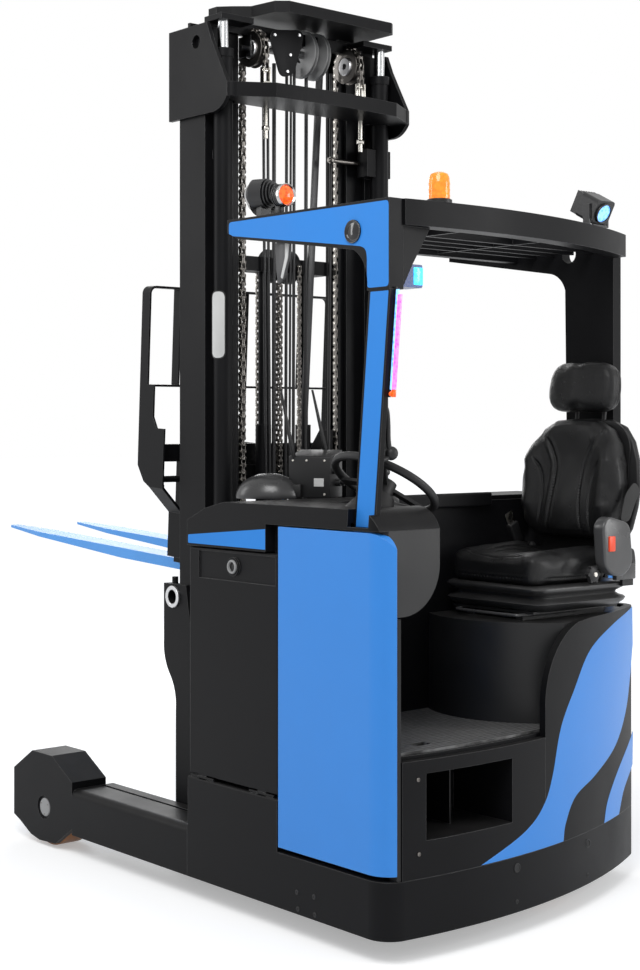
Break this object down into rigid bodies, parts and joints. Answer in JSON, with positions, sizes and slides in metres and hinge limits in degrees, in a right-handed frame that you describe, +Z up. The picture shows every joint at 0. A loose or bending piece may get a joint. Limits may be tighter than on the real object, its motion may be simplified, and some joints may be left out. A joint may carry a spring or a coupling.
{
  "type": "reach truck",
  "caption": "Side-seated electric reach truck with a three-stage mast, reach legs, a steered drive wheel, an overhead guard and tilting, side-shifting forks.",
  "frame": {"origin": "on the floor, at the middle of the truck's outline", "axes": "+X is the truck's left, +Y its back, +Z up; the forks point to -Y"},
  "size_m": [1.372, 3.001, 3.06],
  "materials": {
    "black_paint": "satin black paint with a fine texture",
    "blue_paint": "smooth blue paint",
    "fork_blue": "blue paint on forged steel",
    "wheel_tyre": "orange-brown polyurethane",
    "hub_steel": "turned steel",
    "drive_cast": "painted casting",
    "battery_case": "painted steel tray",
    "mat_rubber": "ribbed rubber",
    "black_plastic": "moulded matt plastic",
    "seat_vinyl": "black vinyl with sewn channels",
    "seat_rubber": "pleated rubber",
    "lamp_body": "black finned casting",
    "lamp_chrome": "polished chrome",
    "amber_lens": "lit amber lens",
    "chrome_rod": "polished piston rod"
  },
  "bodies": {
    "chassis": {"base_frame": "black_paint", "reach_leg_left": "black_paint", "reach_leg_right": "black_paint", "battery": "battery_case", "battery_panels": "black_paint", "left_side_panel": "blue_paint", "right_side_panel": "blue_paint", "step_panel": "black_paint", "rear_body": "black_paint", "cab_floor": "black_paint", "floor_mat": "mat_rubber", "seat_pedestal": "black_plastic", "hood": "black_paint", "console": "black_plastic", "cab_walls": "black_paint", "guard_left": "blue_paint", "guard_right": "black_paint", "guard_rear_beam": "black_paint", "guard_grille": "black_paint", "work_lamps": "lamp_body", "tail_lamp": "lamp_chrome", "beacon": "amber_lens", "blue_spot_lamp": "lamp_body", "post_lamp": "lamp_body", "steering_column": "black_plastic"},
    "load_wheel_left": {"load_tyre_left": "wheel_tyre", "load_hub_left": "hub_steel"},
    "load_wheel_right": {"load_tyre_right": "wheel_tyre", "load_hub_right": "hub_steel"},
    "drive_turret": {"drive_unit": "drive_cast"},
    "drive_wheel": {"drive_tyre": "wheel_tyre", "drive_hub": "hub_steel"},
    "battery_door": {"battery_door": "black_paint"},
    "steering_wheel": {"steering_wheel": "black_plastic"},
    "seat": {"seat_frame": "black_plastic", "seat_bellows": "seat_rubber", "seat_cushion": "seat_vinyl"},
    "seat_back": {"seat_back_shell": "black_plastic", "seat_backrest": "seat_vinyl", "seat_headrest": "seat_vinyl"},
    "reach_carriage": {"reach_carriage": "black_paint", "mast_outer": "black_paint", "mast_top_frame": "black_paint"},
    "mast_middle": {"mast_middle": "black_paint", "lift_rods": "chrome_rod"},
    "mast_inner": {"mast_inner": "black_paint", "free_lift_cylinders": "black_paint"},
    "free_lift_head": {"free_lift_head": "black_paint"},
    "fork_carriage": {"fork_carriage": "black_paint"},
    "side_shift": {"side_shift_frame": "black_paint"},
    "tilt_frame": {"tilt_frame": "black_paint"},
    "fork_left": {"fork_left": "fork_blue"},
    "fork_right": {"fork_right": "fork_blue"}
  },
  "joints": [
    {"name": "load_wheel_left_spin", "type": "hinge", "parent": "chassis", "child": "load_wheel_left", "pos_m": [0.608, -0.393, 0.1425], "axis": [1, 0, 0], "continuous": true},
    {"name": "load_wheel_right_spin", "type": "hinge", "parent": "chassis", "child": "load_wheel_right", "pos_m": [-0.608, -0.393, 0.1425], "axis": [1, 0, 0], "continuous": true},
    {"name": "drive_steer", "type": "hinge", "parent": "chassis", "child": "drive_turret", "pos_m": [-0.17, 1.15, 0.4], "axis": [0, 0, 1], "range_deg": [-90, 90]},
    {"name": "drive_wheel_spin", "type": "hinge", "parent": "drive_turret", "child": "drive_wheel", "pos_m": [-0.17, 1.15, 0.172], "axis": [1, 0, 0], "continuous": true},
    {"name": "battery_door_swing", "type": "hinge", "parent": "chassis", "child": "battery_door", "pos_m": [0.682, 0.75, 0.4115], "axis": [0, 1, 0], "range_deg": [0, 90]},
    {"name": "steering_wheel_spin", "type": "hinge", "parent": "chassis", "child": "steering_wheel", "pos_m": [0.45, 1.212, 1.38], "axis": [-0.5299, 0, 0.848], "continuous": true},
    {"name": "seat_slide", "type": "slide", "parent": "chassis", "child": "seat", "axis": [1, 0, 0], "range_m": [-0.02, 0.08]},
    {"name": "seat_recline", "type": "hinge", "parent": "seat", "child": "seat_back", "pos_m": [-0.472, 1.175, 1.075], "axis": [0, 1, 0], "range_deg": [-1, 10]},
    {"name": "mast_reach", "type": "slide", "parent": "chassis", "child": "reach_carriage", "axis": [0, -1, 0], "range_m": [0, 0.41]},
    {"name": "mast_middle_lift", "type": "slide", "parent": "reach_carriage", "child": "mast_middle", "axis": [0, 0, 1], "range_m": [0, 2]},
    {"name": "mast_inner_lift", "type": "slide", "parent": "mast_middle", "child": "mast_inner", "axis": [0, 0, 1], "range_m": [0, 2]},
    {"name": "carriage_lift", "type": "slide", "parent": "mast_inner", "child": "fork_carriage", "axis": [0, 0, 1], "range_m": [-0.93, 0.86]},
    {"name": "free_lift", "type": "slide", "parent": "mast_inner", "child": "free_lift_head", "axis": [0, 0, 1], "range_m": [-0.465, 0.43]},
    {"name": "side_shift", "type": "slide", "parent": "fork_carriage", "child": "side_shift", "axis": [1, 0, 0], "range_m": [-0.075, 0.075]},
    {"name": "fork_tilt", "type": "hinge", "parent": "side_shift", "child": "tilt_frame", "pos_m": [0, -0.036, 1.092], "axis": [-1, 0, 0], "range_deg": [-4.9, 1.1]},
    {"name": "fork_left_spread", "type": "slide", "parent": "tilt_frame", "child": "fork_left", "axis": [1, 0, 0], "range_m": [-0.07, 0.09]},
    {"name": "fork_right_spread", "type": "slide", "parent": "tilt_frame", "child": "fork_right", "axis": [-1, 0, 0], "range_m": [-0.07, 0.09]}
  ],
  "couplings": [
    {"joint": "mast_inner_lift", "follows": "mast_middle_lift", "ratio": 1},
    {"joint": "free_lift", "follows": "carriage_lift", "ratio": 0.5}
  ]
}
